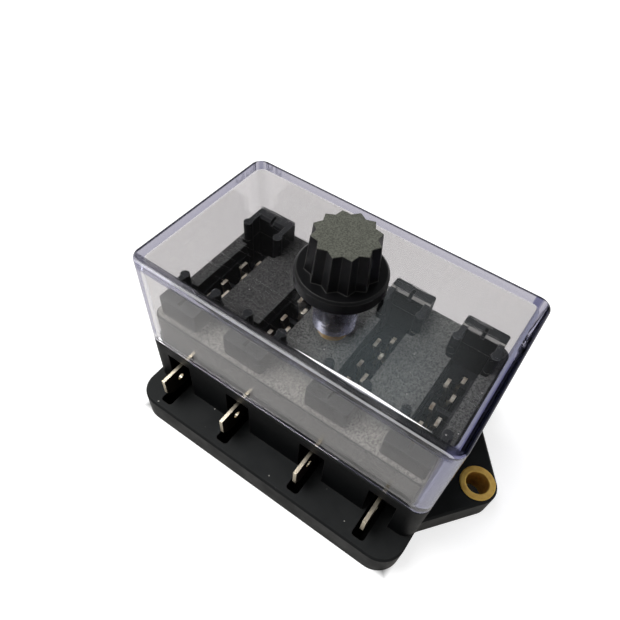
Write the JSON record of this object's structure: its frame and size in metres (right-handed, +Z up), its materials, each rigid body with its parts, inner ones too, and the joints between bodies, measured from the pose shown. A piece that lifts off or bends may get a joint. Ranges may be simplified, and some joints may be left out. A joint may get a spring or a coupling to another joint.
{
  "type": "blade fuse box",
  "caption": "Blade fuse box: black base with mounting ears, stamped terminals and fuse towers, under a clear cover held by a star thumb knob.",
  "frame": {"origin": "under the middle of the base, in the plane of its underside", "axes": "+X along the row of fuses, +Y towards the rear terminals, +Z up through the knob"},
  "size_m": [0.0918, 0.0556, 0.0562],
  "materials": {
    "black_moulding": "satin black moulding, light grain on the deck",
    "clear_moulding": "clear polished moulding with fine scratches",
    "knob_moulding": "satin black, rubbed grey on top",
    "steel": "zinc plated, dull",
    "brass": "turned brass",
    "eyelet_brass": "rolled brass, darker inside",
    "terminal_brass": "stamped brass, bright sheared edges"
  },
  "bodies": {
    "base": {"base": "black_moulding", "eyelet_left": "eyelet_brass", "eyelet_right": "eyelet_brass", "threaded_insert": "brass", "terminal_front_1": "terminal_brass", "terminal_front_2": "terminal_brass", "terminal_front_3": "terminal_brass", "terminal_front_4": "terminal_brass", "terminal_rear_1": "terminal_brass", "terminal_rear_2": "terminal_brass", "terminal_rear_3": "terminal_brass", "terminal_rear_4": "terminal_brass"},
    "cover": {"cover": "clear_moulding"},
    "knob": {"knob": "knob_moulding", "knob_screw": "steel"}
  },
  "joints": [
    {"name": "cover_lift", "type": "slide", "parent": "base", "child": "cover", "axis": [0, 0, 1], "range_m": [0, 0.03]},
    {"name": "knob_turn", "type": "hinge", "parent": "cover", "child": "knob", "pos_m": [0, 0, 0.0455], "axis": [0, 0, 1], "continuous": true}
  ]
}
